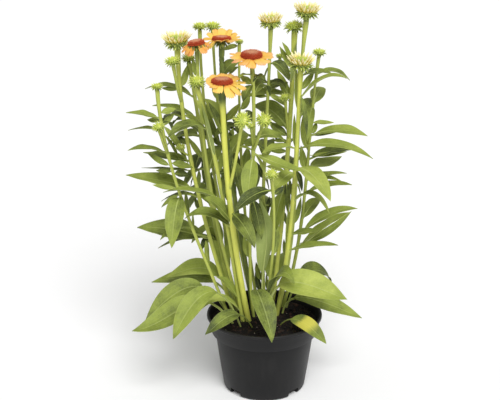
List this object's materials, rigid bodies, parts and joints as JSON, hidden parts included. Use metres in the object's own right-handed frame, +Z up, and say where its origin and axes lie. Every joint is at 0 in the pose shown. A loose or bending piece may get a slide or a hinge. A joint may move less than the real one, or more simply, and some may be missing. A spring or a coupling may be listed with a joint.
{
  "type": "potted coneflower",
  "caption": "Upright clump of coneflower stems with lance-shaped leaves, flat-coned daisy flowers and spiky buds, growing in a round plastic nursery pot.",
  "frame": {"origin": "on the pot's axis, at the middle of the pot's flat underside", "axes": "+Z up along the pot's axis, +X the plant's right as pictured, -Y its front"},
  "size_m": [0.395, 0.2613, 0.632],
  "materials": {
    "pot": "satin",
    "compost": "matte",
    "stem": "satin",
    "leaf": "satin",
    "bud": "matte",
    "cone": "matte",
    "ray": "satin",
    "young_ray": "satin"
  },
  "bodies": {
    "root": {"pot": "pot", "compost": "compost", "stem_1": "stem", "stem_2": "stem", "stem_3": "stem", "stem_4": "stem", "stem_5": "stem", "stem_6": "stem", "stem_7": "stem", "stem_8": "stem", "stem_9": "stem", "stem_10": "stem", "stem_11": "stem", "stem_12": "stem", "stem_13": "stem", "stem_14": "stem", "stem_15": "stem", "stem_16": "stem", "stem_17": "stem", "basal_leaf_1": "leaf", "basal_leaf_2": "leaf", "basal_leaf_3": "leaf", "basal_leaf_4": "leaf", "basal_leaf_5": "leaf", "basal_leaf_6": "leaf", "basal_leaf_7": "leaf", "basal_leaf_8": "leaf", "basal_leaf_9": "leaf", "basal_leaf_10": "leaf", "basal_leaf_11": "leaf", "basal_leaf_12": "leaf", "flower_1_rays": "ray", "flower_1_cone": "cone", "flower_2_rays": "ray", "flower_2_cone": "cone", "flower_3_rays": "ray", "flower_3_cone": "cone", "flower_4_rays": "ray", "flower_4_cone": "cone", "young_head_1_cup": "bud", "young_head_1_rays": "young_ray", "young_head_2_cup": "bud", "young_head_2_rays": "young_ray", "young_head_3_cup": "bud", "young_head_3_rays": "young_ray", "young_head_4_cup": "bud", "young_head_4_rays": "young_ray", "bud_1": "bud", "bud_2": "bud", "bud_3": "bud", "bud_4": "bud", "bud_5": "bud", "bud_6": "bud", "bud_7": "bud", "bud_8": "bud", "bud_9": "bud", "bud_10": "bud", "bud_11": "bud", "bud_12": "bud", "bud_13": "bud"}
  },
  "joints": []
}
